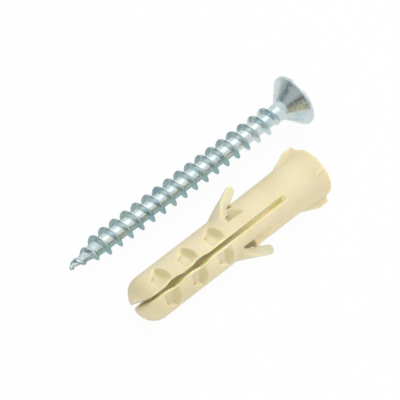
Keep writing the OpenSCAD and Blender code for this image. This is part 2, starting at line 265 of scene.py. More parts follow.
def chain(name, points, closed=False):
    """A line of edges through points in the XZ plane, drawn on from one vertex of a plane."""
    piece = added(bpy.ops.mesh.primitive_plane_add, size=1)
    edit(piece)
    bpy.ops.mesh.merge(type="CENTER")
    bpy.ops.transform.translate(value=(points[0][0], 0, points[0][1]))
    for a, b in zip(points, points[1:]):
        bpy.ops.mesh.extrude_vertices_move(TRANSFORM_OT_translate={"value": (b[0] - a[0], 0, b[1] - a[1])})
    bpy.ops.mesh.select_all(action="SELECT")
    if closed:
        bpy.ops.mesh.edge_face_add()
    return done(piece, name)


def turned(name, points, steps=96):
    """A closed turned form from its half outline, which starts and ends on the axis."""
    piece = chain(name, points)
    edit(piece)
    bpy.ops.mesh.spin(steps=steps, angle=2 * math.pi, center=(0, 0, 0), axis=(0, 0, 1))
    return outward(done(piece))


def prism(name, outline, y0, y1):
    """A closed form with an outline in the XZ plane, from y0 to y1."""
    piece = chain(name, outline, closed=True)
    edit(piece)
    bpy.ops.transform.translate(value=(0, y0, 0))
    bpy.ops.mesh.extrude_region_move(TRANSFORM_OT_translate={"value": (0, y1 - y0, 0)})
    return outward(done(piece))


def block(name, low, high):
    """A box from its lowest to its highest corner, the start of a cutter."""
    piece = added(bpy.ops.mesh.primitive_cube_add, size=1, location=[(a + b) / 2 for a, b in zip(low, high)],
                  scale=[b - a for a, b in zip(low, high)])
    bpy.ops.object.transform_apply(location=True, rotation=True, scale=True)
    piece.name = piece.data.name = name
    return piece


def saw(piece, point, normal):
    """Cuts off what lies on the normal's side of a plane and closes the cut."""
    edit(piece)
    bpy.ops.mesh.bisect(plane_co=point, plane_no=normal, use_fill=True, clear_outer=True)
    return done(piece)


def placed(piece, matrix):
    """Moves an object by a matrix and applies it to the mesh."""
    only(piece)
    piece.matrix_world = matrix @ piece.matrix_world
    bpy.ops.object.transform_apply(location=True, rotation=True, scale=True)
    return outward(piece) if matrix.determinant() < 0 else piece


def copied(piece, matrix):
    """A copy with its own mesh, put elsewhere."""
    only(piece)
    bpy.ops.object.duplicate()
    return placed(bpy.context.object, matrix)


def boolean(piece, tool, operation):
    """Unites, cuts or intersects a piece with a tool, which is used up."""
    modifier = piece.modifiers.new("boolean", "BOOLEAN")
    modifier.operation = operation
    modifier.solver = "EXACT"
    modifier.object = tool
    applied(piece, modifier)
    bpy.data.objects.remove(tool, do_unlink=True)
    return piece


def finished(piece, matrix, material, slot_name, *nodes):
    """Places a piece in the frame, gives it its finish and hands it to the body it rides on."""
    placed(piece, matrix)
    placed(piece, Matrix.Scale(MM, 4))
    piece.data.materials.clear()
    piece.data.materials.append(material)
    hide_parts(*nodes)
    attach(piece, "root")
    return piece


def turn(degrees, axis):
    """A rotation by degrees."""
    return Matrix.Rotation(math.radians(degrees), 4, axis)


def fan(reach, steps):
    """Even turns from nothing to the whole reach."""
    return [reach * k / steps for k in range(steps + 1)]


# Screw

ROOT_FILLET = ((-0.14, 0), (-0.07, 0.012), (0.0, 0.05), (0.07, 0.16))  # millimetres along, share of height
CREST_ROUND = (0.01, 0.985)  # the same where the flank turns into the crest
CREST_RUN_OUT, ROOT_RUN_OUT = 1.1, 0.8  # lengths over which the thread dies out before the neck
THREAD_STEPS = 72  # steps in one turn
RECESS_TOP, RECESS_DRAFT = 0.3, 0.75  # how much an arm of the cutter is wider on top, narrower at the bottom
ARM_DRAFT = 0.86  # width of the bottom of an arm against its top
HEAD_SINK = 0.25  # how far the head's form reaches down into the shank
RIM_ROUND = 0.12  # rounding of the rim at the head face


def thread_profile(s):
    """One pitch of the thread, as pairs of radius and height, from a filleted root over the rounded crest."""
    core, crest = s.core_d / 2, s.thread_d / 2
    flank = (s.base_w - s.crest_w) / 2
    half = list(ROOT_FILLET) + [(part * flank, part) for part in (0.5, 0.92)]
    half.append((flank + CREST_ROUND[0], CREST_ROUND[1]))
    heights = half + [(s.base_w / 2, 1.0)] + [(s.base_w - z, h) for z, h in reversed(half)]
    heights.append((half[0][0] + s.pitch, 0))
    return [(core + (crest - core) * h, z) for z, h in heights]


def taper(piece, group, fixed_z, end_z, ratio):
    """Narrows one vertex group about the axis, from full size at fixed_z to ratio at end_z and beyond."""
    lifted(piece, -fixed_z)
    heights = [v.co.z for v in piece.data.vertices]
    low, high = min(heights), max(heights)
    reach = end_z - fixed_z
    modifier = piece.modifiers.new("taper", "SIMPLE_DEFORM")
    modifier.deform_method = "TAPER"
    modifier.deform_axis = "Z"
    modifier.vertex_group = group
    if reach < 0:
        modifier.limits = (max(0.0, (reach - low) / (high - low)), -low / (high - low))
        modifier.factor = 1 - ratio
    else:
        modifier.limits = (-low / (high - low), min(1.0, (reach - low) / (high - low)))
        modifier.factor = ratio - 1
    applied(piece, modifier)
    lifted(piece, fixed_z)


def threaded_shank(s, foot_z):
    """The shank: one pitch of profile screwed up the axis, cut square at both ends, narrowed to the point."""
    piece = lifted(chain("shank", thread_profile(s)), 0.05 - 2 * s.pitch)
    turns = math.ceil(foot_z / s.pitch) + 4
    modifier = piece.modifiers.new("thread", "SCREW")
    modifier.axis = "Z"
    modifier.angle = 2 * math.pi
    modifier.screw_offset = s.pitch
    modifier.iterations = turns
    modifier.steps = modifier.render_steps = THREAD_STEPS
    outward(applied(piece, modifier))
    saw(piece, (0, 0, foot_z + 0.3), (0, 0, 1))
    saw(piece, (0, 0, 0), (0, 0, -1))
    core, crest = s.core_d / 2, s.thread_d / 2
    root, edge = piece.vertex_groups.new(name="root"), piece.vertex_groups.new(name="crest")
    for v in piece.data.vertices:
        h = min(1, max(0, (math.hypot(v.co.x, v.co.y) - core) / (crest - core)))
        root.add([v.index], 1 - h, "REPLACE")
        edge.add([v.index], h, "REPLACE")
    end_z = foot_z - s.neck_len
    taper(piece, "root", s.point_len, 0, s.point_d / s.core_d)
    taper(piece, "crest", s.crest_len, 0, s.point_d / s.thread_d)
    taper(piece, "crest", end_z - CREST_RUN_OUT, end_z, s.neck_d / s.thread_d)
    taper(piece, "root", end_z - ROOT_RUN_OUT, end_z, s.neck_d / s.core_d)
    return outward(piece)


def cross_recess(s):
    """The cross recess: two crossed arms, narrower at the bottom, and a centring cone."""
    bottom, reach = s.length - s.recess_depth, s.recess_w / 2
    arm = block("recess", (-reach - RECESS_TOP, -s.arm_w / 2, bottom),
                (reach + RECESS_TOP, s.arm_w / 2, s.length + 1))
    edit(arm, "DESELECT")
    shape = bmesh.from_edit_mesh(arm.data)
    for v in shape.verts:
        v.select = v.co.z < bottom + 0.01
    shape.select_flush(True)
    bmesh.update_edit_mesh(arm.data)
    bpy.ops.transform.resize(value=((reach - RECESS_DRAFT) / (reach + RECESS_TOP), ARM_DRAFT, 1),
                             center_override=(0, 0, bottom))
    done(arm)
    boolean(arm, copied(arm, turn(90, "Z")), "UNION")
    cone = [(0, bottom - 0.5), (0.1, bottom - 0.5), (1.25, s.length + 0.5), (0, s.length + 0.5)]
    return boolean(arm, turned("centring", cone, 24), "UNION")


def head(s, foot_z):
    """The head: neck, fillet, countersink and rim as one turned form."""
    neck, rim = s.neck_d / 2, s.head_d / 2
    edge_z = s.length - s.rim_h
    arc = [(neck + s.fillet_r * (1 - math.cos(a)), foot_z + s.fillet_r * math.sin(a))
           for a in fan(s.half_angle, 10)]
    slope = math.tan(s.half_angle)
    # The cone has a point close to each of its ends, so that its smooth shading stays true to its slope
    cone = [(arc[-1][0] + 0.1 * slope, arc[-1][1] + 0.1), (rim - 0.03 - 0.15 * slope, edge_z - 0.18)]
    edge = [(rim - 0.03, edge_z - 0.03), (rim, edge_z + 0.05), (rim, s.length - RIM_ROUND),
            (rim - 0.035, s.length - 0.035), (rim - RIM_ROUND, s.length), (0, s.length)]
    return turned("head", [(0, foot_z - HEAD_SINK), (neck, foot_z - HEAD_SINK)] + arc + cone + edge, 128)


class WALLPLUG_OT_screw(Operator):
    """Models the screw: threaded shank, turned head and cross recess"""

    bl_idname = "wall_plug.screw"
    bl_label = "Screw"

    def execute(self, context):
        s = millimetres(context.scene.wall_plug_screw)
        neck, rim = s.neck_d / 2, s.head_d / 2
        foot_z = (s.length - s.rim_h - (rim - neck) / math.tan(s.half_angle)
                  - s.fillet_r * math.tan(s.half_angle / 2))
        piece = threaded_shank(s, foot_z)
        boolean(piece, head(s, foot_z), "UNION")
        boolean(piece, cross_recess(s), "DIFFERENCE")
        piece.vertex_groups.clear()
        low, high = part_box("screw")
        lift = rim * math.cos(s.tilt) - (s.length - s.rim_h) * math.sin(s.tilt)
        back_x = high.x / MM - s.length * math.cos(s.tilt) - (rim - 0.1) * math.sin(s.tilt)
        seat = (Matrix.Translation((back_x, (low.y + high.y) / 2 / MM, lift))
                @ Matrix.Rotation(math.pi / 2 - s.tilt, 4, "Y")
                @ Matrix.Rotation(s.roll + math.pi / 2, 4, "Z"))
        finished(piece, seat, zinc_plating(), "zinc_steel", "screw")
        piece.name = piece.data.name = "countersunk_screw"
        only(piece)
        bpy.ops.object.shade_smooth_by_angle(angle=math.radians(32))
        return {"FINISHED"}


# Plug

STEP_HEADING = 205  # degrees, the heading in which a step faces
PAST = 9  # how far a cutter reaches past the plug
POCKET_LAG = 1.1  # from the root of a wing to the start of the pockets beside it
POCKET_FLOOR = 0.57  # distance of a pocket's floor from the axis, against the radius of the body
WING_NECK, WING_NARROWING = 1.5, 2.2  # length of a wing at full width, then length over which it narrows
WING_NARROW = 0.3  # width of a wing where it has narrowed, against its root
RIDGE_BACK, RIDGE_DEPTH = 0.25, 0.15  # a ridge in the bore: its share of a spacing, and its depth
LENS_LAG = 0.75  # from the front of a notch to the front of the widening beside it
MOUTH_LIP, MOUTH_DEPTH = 0.4, 0.6  # width and depth of the chamfer of the mouth
FLARE_POWER = 1.15  # the flare opens a little faster toward the rim
RIM_LEN, RIM_SOFT = 0.7, 0.15  # length of the rim behind the flare, and chamfer at the collar's end
STEP_LEAD = 1.6  # from the deepest corner of a pocket's step to the pocket's end
FIN_ROOT, FIN_FOOT = 0.3, 0.25  # how far a fin reaches into the collar, and from the rim's end to its foot
FIN_BACK, FIN_FRONT = 2.5, 0.6  # from the rim's end to the two corners of a fin's edge
RIB_BACK, RIB_FRONT = 2.2, 0.3  # from the rim's end to the two ends of a rib
HOLLOW_INSET, HOLLOW_START, HOLLOW_SHORT, HOLLOW_LAP = 0.5, 0.8, 0.4, 0.1  # the hollow against the pockets


def step_plane(p, z):
    """Point and normal of the step that closes a notch or pocket toward the collar."""
    normal = turn(STEP_HEADING, "Z") @ Matrix.Rotation(p.wall_slope, 4, "Y") @ Vector((0, 0, 1))
    return (p.notch_floor, p.notch_ridge, z), normal


def notch(p):
    """One notch cutter: a steep inner floor and a sloping outer floor, closed by the step."""
    run = p.notch_ridge - p.notch_near
    rise = math.sqrt((p.body_d / 2) ** 2 - p.notch_near ** 2) - p.notch_floor
    inner = block("notch", (p.notch_floor, p.notch_ridge - 1.6 * run, 0),
                  (p.notch_floor + 1.6 * rise, p.notch_ridge + 0.02, 6))
    saw(inner, (p.notch_floor, p.notch_ridge, 0), (-run, -rise, 0))
    outer = block("ramp", (-4, p.notch_ridge, -1), (8, 10, 7))
    ramp = (Matrix.Rotation(p.ramp_heading, 4, "Z") @ Matrix.Rotation(math.pi / 2 - p.ramp_slope, 4, "Y")
            @ Vector((0, 0, -1)))
    saw(outer, (p.notch_floor, p.notch_ridge, p.notch_corner), ramp)
    boolean(inner, outer, "UNION")
    return saw(inner, *step_plane(p, p.notch_corner))


def pocket(p, reach):
    """The cutter of one pocket beside a wing."""
    start = p.wing_start + POCKET_LAG
    cutter = block("pocket", (p.web_t / 2, POCKET_FLOOR * p.body_d / 2, start), (PAST, PAST, start + reach))
    return saw(cutter, *step_plane(p, start + reach - STEP_LEAD))


def wing_levels(p):
    """Heights of a wing: full width, narrow, crest and tip, with its radii at the root and the end."""
    end_r = p.wing_r - p.wing_t / 2
    root_r = p.body_d / 2 - p.wing_t / 2 / math.cos(p.wing_slope)
    crest_z = p.wing_start + (end_r - root_r) / math.tan(p.wing_slope)
    neck_z = p.wing_start + WING_NECK
    return neck_z, neck_z + WING_NARROWING, crest_z, crest_z + p.wing_t / 2, root_r, end_r


def clamped(x):
    """A share between 0 and 1."""
    return min(max(x, 0), 1)


def wing_half(p, z):
    """Half width of a wing at a height along the plug: it narrows fast at first, then slowly."""
    neck_z, narrow_z, crest_z = wing_levels(p)[:3]
    narrow = WING_NARROW * p.wing_w
    return (p.wing_w / 2 - (p.wing_w - narrow) / 2 * clamped((z - neck_z) / (narrow_z - neck_z))
            - (narrow - p.wing_end_w) / 2 * clamped((z - narrow_z) / (crest_z - narrow_z)))


def wing_outer(p, z, u):
    """Outer radius of a wing at a height along the plug, beside its middle by u."""
    crest_z, end_r = wing_levels(p)[2], wing_levels(p)[5]
    body_r, half = p.body_d / 2, p.wing_t / 2
    swung = (body_r + (z - p.wing_start) * math.tan(p.wing_slope)
             - (body_r - math.sqrt(body_r ** 2 - u * u)) / math.cos(p.wing_slope))
    rounded = end_r + math.sqrt(max(0, half ** 2 - max(-half * math.sin(p.wing_slope), z - crest_z) ** 2))
    return min(swung, rounded)


def rest(p):
    """Tilt, lift and turn of the plug as it lies on its nose, its rim and the edge of one wing."""
    body_r = p.body_d / 2
    tilt = math.asin((p.rim_d / 2 - body_r) / (p.length - p.nose_r))
    neck_z, tip_z = wing_levels(p)[0], wing_levels(p)[3]
    turns = []
    for rise in fan(tip_z - neck_z, 60):
        z = neck_z + rise
        u = wing_half(p, z)
        r = wing_outer(p, z, u)
        floor_r = body_r + (z - p.nose_r) * math.tan(tilt)
        turns.append(math.acos(floor_r / math.hypot(r, u)) + math.atan(u / r))
    return tilt, body_r * math.cos(tilt) - p.nose_r * math.sin(tilt), max(turns)


def wing(p):
    """One wing toward +Y: a tongue of round wall, swung outward, rounded at its edge and narrowing to it."""
    body_r, slope = p.body_d / 2, p.wing_slope
    neck_z, narrow_z, crest_z, tip_z, root_r, end_r = wing_levels(p)
    along = Vector((math.sin(slope), math.cos(slope)))
    across = Vector((math.cos(slope), -math.sin(slope))) * p.wing_t / 2
    root, end = Vector((root_r, p.wing_start)), Vector((end_r, crest_z))
    arc = [end + across * math.cos(a) + along * p.wing_t / 2 * math.sin(a) for a in fan(math.pi, 12)]
    outline = [root - along + across] + arc + [root - along - across]
    side = prism("wing", [(q.x, q.y) for q in outline], -p.wing_w / 2, p.wing_w / 2)
    placed(side, turn(90, "Z"))
    wall = added(bpy.ops.mesh.primitive_cylinder_add, vertices=96, radius=body_r, depth=60)
    swing = (0, body_r * (1 - math.cos(slope)), p.wing_start + body_r * math.sin(slope))
    placed(wall, Matrix.Translation(swing) @ Matrix.Rotation(-slope, 4, "X"))
    boolean(side, wall, "INTERSECT")
    levels = [p.wing_start - 2, neck_z, narrow_z, crest_z, tip_z + 0.01]
    plan = [(-wing_half(p, z), z) for z in levels] + [(wing_half(p, z), z) for z in reversed(levels)]
    return boolean(side, prism("plan", plan, 0, 12), "INTERSECT")


def lens(p, middle):
    """Outline of one lens-shaped widening, in the plane across the slot."""
    r = ((p.lens_len / 2) ** 2 + (p.lens_w / 2) ** 2) / p.lens_w
    half = math.asin(p.lens_len / 2 / r)
    turns = [half * (k / 8 - 1) for k in range(17)]
    right = [(r * math.cos(a) - r + p.lens_w / 2, middle + r * math.sin(a)) for a in turns]
    return right + [(-x, 2 * middle - z) for x, z in right[1:-1]]


def slot_cutters(p):
    """The slot and its two widenings, as cutters that run right through the plug."""
    end_z, half = p.slot_len - p.slot_w_end / 2, p.slot_w_end / 2
    arc = [(half * math.cos(a), end_z + half * math.sin(a)) for a in fan(math.pi, 12)]
    tip, r = p.slot_w_tip / 2, p.slot_mouth_r
    mouth = [(tip + r * (1 - math.cos(a)), r * (1 - math.sin(a))) for a in fan(math.pi / 2, 8)]
    right = [(tip + r, -1)] + list(reversed(mouth))
    cutters = [prism("slot", right + arc + [(-x, z) for x, z in reversed(right)], -PAST, PAST)]
    for k in range(2):
        middle = p.notch_start + p.lens_len / 2 + LENS_LAG + k * p.notch_pitch
        cutters.append(prism("lens", lens(p, middle), -PAST, PAST))
    for cutter in cutters:
        placed(cutter, turn(90, "Z"))
    return cutters


def bore_cutter(p):
    """The bore: straight at the mouth, then a taper, then ridged down to the closed nose."""
    taper_z, bore_r = p.length / 2, p.bore_d / 2
    pitch = p.notch_pitch / 4
    lip_r = bore_r + MOUTH_LIP
    outline = [(0, p.length + 1), (lip_r, p.length + 1), (lip_r, p.length),
               (bore_r, p.length - MOUTH_DEPTH), (bore_r, p.length - p.bore_straight)]
    for k in range(math.floor((taper_z - p.nose_wall - 1) / pitch)):
        for back, deep in ((0, 0), (RIDGE_BACK * pitch, RIDGE_DEPTH)):
            z = taper_z - k * pitch - back
            r = p.taper_d / 2 - (p.taper_d - p.bore_end_d) / 2 * (taper_z - z) / (taper_z - p.nose_wall)
            outline.append((r - deep, z))
    outline += [(p.bore_end_d / 2, p.nose_wall + 0.6), (p.bore_end_d / 4, p.nose_wall), (0, p.nose_wall)]
    return turned("bore", outline)


def plug_blank(p):
    """The turned outside of the plug, with its rounded nose and its flare."""
    body_r, collar_r, rim_r = p.body_d / 2, p.collar_d / 2, p.rim_d / 2
    nose = [(body_r - p.nose_r + p.nose_r * math.sin(a), p.nose_r - p.nose_r * math.cos(a))
            for a in fan(math.pi / 2, 9)]
    flare_z = p.length - p.flare_len
    flare = [(collar_r + (rim_r - collar_r) * (k / 5) ** FLARE_POWER,
              flare_z + (p.flare_len - RIM_LEN) * k / 5) for k in range(1, 6)]
    return turned("plug", [(0, 0)] + nose + [(body_r, p.length / 2), (collar_r, flare_z)] + flare
                  + [(rim_r, p.length - RIM_SOFT), (rim_r - RIM_SOFT, p.length), (0, p.length)], 128)


def mirrors():
    """The four quadrants, with whether each is on the diagonal of the first."""
    for sx in (1, -1):
        for sy in (1, -1):
            yield Matrix.Diagonal((sx, sy, 1, 1)), sx == sy


def add_fins(piece, p):
    """The two tall fins and the two low ribs on the collar."""
    half, rim_r = p.fin_t / 2, p.rim_d / 2
    outline = [(p.collar_d / 2 - FIN_ROOT, p.length - p.fin_len), (p.fin_r, p.length - FIN_BACK),
               (p.fin_r, p.length - FIN_FRONT), (rim_r - FIN_ROOT, p.length - FIN_FOOT)]
    for sy in (1, -1):
        fin = prism("fin", outline, -half, half)
        boolean(piece, placed(fin, turn(90 * sy, "Z")), "UNION")
        rib = block("rib", (1, -half, p.length - RIB_BACK), (rim_r + p.rib_h, half, p.length - RIB_FRONT))
        boolean(piece, placed(rib, turn(90 - 90 * sy, "Z")), "UNION")


def cut_notches(piece, p):
    """The four rows of notches, and the long and the short pockets behind them."""
    first = notch(p)
    row = [copied(first, Matrix.Translation((0, 0, p.notch_start + k * p.notch_pitch)))
           for k in range(p.notch_count)]
    bpy.data.objects.remove(first, do_unlink=True)
    for matrix, diagonal in mirrors():
        for cutter in row:
            boolean(piece, copied(cutter, matrix), "DIFFERENCE")
        cutter = pocket(p, p.pocket_long if diagonal else p.pocket_short)
        boolean(piece, placed(cutter, matrix), "DIFFERENCE")
    for cutter in row:
        bpy.data.objects.remove(cutter, do_unlink=True)


def add_wings(piece, p):
    """The hollow under each wing, and the wing itself."""
    near, start = POCKET_FLOOR * p.body_d / 2 + HOLLOW_INSET, p.wing_start + POCKET_LAG
    low = (-p.web_t / 2 - HOLLOW_LAP, near, start + HOLLOW_START)
    high = (p.web_t / 2 + HOLLOW_LAP, 20, start + p.pocket_short - HOLLOW_SHORT)
    for sy in (1, -1):
        boolean(piece, placed(block("hollow", low, high), turn(90 - 90 * sy, "Z")), "DIFFERENCE")
        boolean(piece, placed(wing(p), turn(90 - 90 * sy, "Z")), "UNION")


def soften(piece, p):
    """Rounds the edges as in a mould: the form is put on a fine even grid and relaxed a little."""
    grid = piece.modifiers.new("grid", "REMESH")
    grid.mode = "VOXEL"
    grid.voxel_size = p.softness
    grid.use_smooth_shade = True
    applied(piece, grid)
    relax = piece.modifiers.new("relax", "SMOOTH")
    relax.factor = 0.5
    relax.iterations = 3
    applied(piece, relax)


def laid_down(piece, p):
    """Lays the plug down; returns the move that is left to the middle of its box, and its whole place."""
    tilt, lift, wing_down = rest(p)
    seat = (Matrix.Translation((0, 0, lift)) @ Matrix.Rotation(p.yaw, 4, "Z")
            @ Matrix.Rotation(math.pi / 2 - tilt, 4, "Y")
            @ Matrix.Rotation(1.5 * math.pi - wing_down, 4, "Z"))
    placed(piece, seat)
    corners = [v.co for v in piece.data.vertices]
    middle = [(min(q[i] for q in corners) + max(q[i] for q in corners)) / 2 for i in range(2)]
    low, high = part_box("wall_plug")
    home = Matrix.Translation(((low.x + high.x) / 2 / MM - middle[0],
                               (low.y + high.y) / 2 / MM - middle[1], 0))
    return home, home @ seat


class WALLPLUG_OT_plug(Operator):
    """Models the wall plug: turned blank, fins, bore, slot, notches, pockets and wings, with moulded edges"""

    bl_idname = "wall_plug.plug"
    bl_label = "Wall plug"

    def execute(self, context):
        p = millimetres(context.scene.wall_plug_plug)
        piece = plug_blank(p)
        add_fins(piece, p)
        boolean(piece, bore_cutter(p), "DIFFERENCE")
        for cutter in slot_cutters(p):
            boolean(piece, cutter, "DIFFERENCE")
        cut_notches(piece, p)
        add_wings(piece, p)
        soften(piece, p)
        home, PLACES["plug"] = laid_down(piece, p)
        finished(piece, home, nylon(PLACES["plug"]), "nylon", "wall_plug")
        piece.name = piece.data.name = "nylon_plug"
        only(piece)
        bpy.ops.object.shade_smooth()
        return {"FINISHED"}


# Finishes

# Where each painted tone of the nylon starts and where it is full, in the plug's millimetres
SLOT_FRONT, SLOT_REAR, SLOT_SIDE, SLOT_OUT = (2.4, 3.0), (34.0, 33.0), (0.9, 0.7), (3.7, 3.4)
WING_OUT, WING_REAR, FIN_OUT = (4.0, 4.9), (29.0, 27.0), (5.2, 5.6)
NOTCH_FRONT, NOTCH_REAR, NOTCH_OUT, NOTCH_UP = (2.6, 3.0), (18.9, 18.5), (3.87, 3.78), (3.7, 3.0)
NOTCH_EDGE = (-0.3, 0.1)  # the same, from the deepest corner of each notch
LIGHT_RANGE = (1.0, 0.88, 0.36)  # how far red, green and blue light go into nylon, against each other
LIGHT_DEPTH = (0.0009, 0.0060)  # in metres, in the body and in the walls of the slot
NOTCH_DEPTH = 0.4  # share of that depth in the floors of the notches


def new_material(name):
    """A new node material; returns the material, its tree and its shader."""
    material = bpy.data.materials.new(name)
    material.use_nodes = True
    return material, material.node_tree, material.node_tree.nodes["Principled BSDF"]


def object_noise(tree, scale, detail, roughness=0.5):
    """Noise on object coordinates; returns its value socket."""
    coordinates = tree.nodes.new("ShaderNodeTexCoord")
    noise = tree.nodes.new("ShaderNodeTexNoise")
    noise.inputs["Scale"].default_value = scale
    noise.inputs["Detail"].default_value = detail
    noise.inputs["Roughness"].default_value = roughness
    tree.links.new(coordinates.outputs["Object"], noise.inputs["Vector"])
    return noise.outputs["Fac"]


def ramp(tree, value, *stops):
    """A colour ramp with stops of position and colour; returns its colour socket."""
    node = tree.nodes.new("ShaderNodeValToRGB")
    while len(node.color_ramp.elements) < len(stops):
        node.color_ramp.elements.new(0.5)
    for element, (position, shade) in zip(node.color_ramp.elements, stops):
        element.position = position
        element.color = (*shade, 1)
    tree.links.new(value, node.inputs["Fac"])
    return node.outputs["Color"]


def grey(value):
    """A plain grey."""
    return (value, value, value)


def bump(tree, height, strength, distance):
    """A bump; returns its normal socket."""
    node = tree.nodes.new("ShaderNodeBump")
    node.inputs["Strength"].default_value = strength
    node.inputs["Distance"].default_value = distance
    tree.links.new(height, node.inputs["Height"])
    return node.outputs["Normal"]


def zinc_plating():
    """Bright zinc over steel, with drifting blue and olive tints and a fine grain."""
    look = bpy.context.scene.wall_plug_finish
    material, tree, shader = new_material("zinc_plating")
    drift = object_noise(tree, 420, 3)
    tint = ramp(tree, drift, (0.30, look.zinc_blue), (0.48, look.zinc), (0.62, look.zinc),
                (0.75, look.zinc_olive))
    tree.links.new(tint, shader.inputs["Base Color"])
    shader.inputs["Metallic"].default_value = 1.0
    cloud = object_noise(tree, 1500, 4)
    tree.links.new(ramp(tree, cloud, (0.3, grey(0.22)), (0.7, grey(0.36))), shader.inputs["Roughness"])
    grain = object_noise(tree, 2600, 3, 0.6)
    tree.links.new(bump(tree, grain, 0.12, 0.00003), shader.inputs["Normal"])
    return material


def share(tree, value, none, all_of_it):
    """A share that grows from none at one value to all of it at the other; returns its value socket."""
    node = tree.nodes.new("ShaderNodeMapRange")
    node.interpolation_type = "SMOOTHSTEP"
    ends = ((none, all_of_it), (0, 1)) if none < all_of_it else ((all_of_it, none), (1, 0))
    for name, number in zip(("From Min", "From Max", "To Min", "To Max"), ends[0] + ends[1]):
        node.inputs[name].default_value = number
    tree.links.new(value, node.inputs["Value"])
    return node.outputs["Result"]


def from_to(tree, value, none, all_of_it):
    """A number that follows a share evenly, from one value to another; returns its value socket."""
    node = tree.nodes.new("ShaderNodeMapRange")
    node.inputs["To Min"].default_value = none
    node.inputs["To Max"].default_value = all_of_it
    tree.links.new(value, node.inputs["Value"])
    return node.outputs["Result"]


def maths(tree, operation, *values):
    """A calculation on sockets and numbers; returns its value socket."""
    node = tree.nodes.new("ShaderNodeMath")
    node.operation = operation
    for value, socket in zip(values, node.inputs):
        if isinstance(value, (int, float)):
            socket.default_value = value
        else:
            tree.links.new(value, socket)
    return node.outputs["Value"]


def product(tree, *values):
    """All of the values multiplied; returns their value socket."""
    result = values[0]
    for value in values[1:]:
        result = maths(tree, "MULTIPLY", result, value)
    return result


def own_places(tree, location, rotation, scale=1.0):
    """Object coordinates in a frame of their own; returns the sockets of X, Y and Z."""
    coordinates = tree.nodes.new("ShaderNodeTexCoord")
    mapping = tree.nodes.new("ShaderNodeMapping")
    mapping.vector_type = "TEXTURE"
    mapping.inputs["Location"].default_value = location
    mapping.inputs["Rotation"].default_value = rotation
    mapping.inputs["Scale"].default_value = (scale, scale, scale)
    split = tree.nodes.new("ShaderNodeSeparateXYZ")
    tree.links.new(coordinates.outputs["Object"], mapping.inputs["Vector"])
    tree.links.new(mapping.outputs["Vector"], split.inputs["Vector"])
    return [split.outputs[axis] for axis in "XYZ"]


def plug_places(tree, seat):
    """Distances up to the slot and across it, distance from the axis, and height from the nose."""
    x, y, z = own_places(tree, seat.translation * MM, seat.to_euler(), MM)
    squares = [product(tree, side, side) for side in (x, y)]
    return (maths(tree, "ABSOLUTE", x), maths(tree, "ABSOLUTE", y),
            maths(tree, "SQRT", maths(tree, "ADD", *squares)), z)


def inside(tree, across, out, z):
    """Share of painted light on the walls of the slot; returns its value socket."""
    return product(tree, share(tree, z, *SLOT_FRONT), share(tree, z, *SLOT_REAR),
                   share(tree, across, *SLOT_SIDE), share(tree, out, *SLOT_OUT))


def thin_parts(tree, out, z):
    """Share of painted light on the wings and the fins, which stand off the body; returns its value socket.
    """
    wings = product(tree, share(tree, out, *WING_OUT), share(tree, z, *WING_REAR))
    return maths(tree, "MAXIMUM", wings, share(tree, out, *FIN_OUT))


def notch_shade_share(tree, up, out, z):
    """Share of painted shade on the rear floors of the notches, less toward the slot; returns its value
    socket.
    """
    p = millimetres(bpy.context.scene.wall_plug_plug)
    along = maths(tree, "MODULO", maths(tree, "SUBTRACT", z, p.notch_start), p.notch_pitch)
    return product(tree, share(tree, z, *NOTCH_FRONT), share(tree, z, *NOTCH_REAR),
                   share(tree, along, *(p.notch_corner + edge for edge in NOTCH_EDGE)),
                   share(tree, out, *NOTCH_OUT), share(tree, up, *NOTCH_UP))


def toned(tree, fraction, base, shade):
    """A base colour that turns to another shade by a fraction; returns its colour socket."""
    mix = tree.nodes.new("ShaderNodeMix")
    mix.data_type = "RGBA"
    tree.links.new(fraction, mix.inputs["Factor"])
    tree.links.new(base, mix.inputs[6])
    mix.inputs[7].default_value = (*shade, 1)
    return mix.outputs[2]


def nylon(seat):
    """Natural cream nylon: satin, with light that goes a little way in; its base colour holds painted light
    in the slot and on the wings and fins, and painted shade in the notches.
    """
    look = bpy.context.scene.wall_plug_finish
    material, tree, shader = new_material("cream_nylon")
    cloud = object_noise(tree, 160, 3)
    up, across, out, z = plug_places(tree, seat)
    within = inside(tree, across, out, z)
    tone = ramp(tree, cloud, (0.35, look.nylon_deep), (0.65, look.nylon))
    # Painted light on the wings and fins
    tone = toned(tree, thin_parts(tree, out, z), tone, look.thin_painted_light)
    # Painted shade on the rear floors of the notches
    floors = notch_shade_share(tree, up, out, z)
    tone = toned(tree, floors, tone, look.notch_painted_shade)
    # Painted light on the walls of the slot
    tree.links.new(toned(tree, within, tone, look.slot_painted_light), shader.inputs["Base Color"])
    shader.inputs["Subsurface Weight"].default_value = 1.0
    shader.inputs["Subsurface Radius"].default_value = LIGHT_RANGE
    depth = product(tree, from_to(tree, within, *LIGHT_DEPTH),
                    from_to(tree, floors, 1.0, NOTCH_DEPTH))
    tree.links.new(depth, shader.inputs["Subsurface Scale"])
    haze = object_noise(tree, 900, 3)
    tree.links.new(ramp(tree, haze, (0.3, grey(0.42)), (0.7, grey(0.55))), shader.inputs["Roughness"])
    grain = object_noise(tree, 3000, 2)
    tree.links.new(bump(tree, grain, 0.2, 0.00002), shader.inputs["Normal"])
    return material


# Stage, in metres

# Soft lamps: name, place, side and watts
LAMPS = (("key", (0.30, 0.10, 0.42), 0.36, 1.3),
         ("fill", (-0.24, -0.28, 0.33), 0.25, 0.65),
         ("low_fill", (0.20, -0.36, 0.14), 0.30, 0.18))
# Faint lamps in the plug's bore: millimetres from the nose, watts, and share of green and blue
BORE_LAMPS = ((8, 4e-6, 0.70), (11, 5e-6, 0.70), (14, 5e-6, 0.70), (17, 6e-6, 0.70), (20, 8e-6, 0.75),
              (23, 1.4e-5, 0.85), (26, 2.9e-5, 0.95), (29, 5.6e-5, 1.0), (32, 3.2e-5, 1.0))
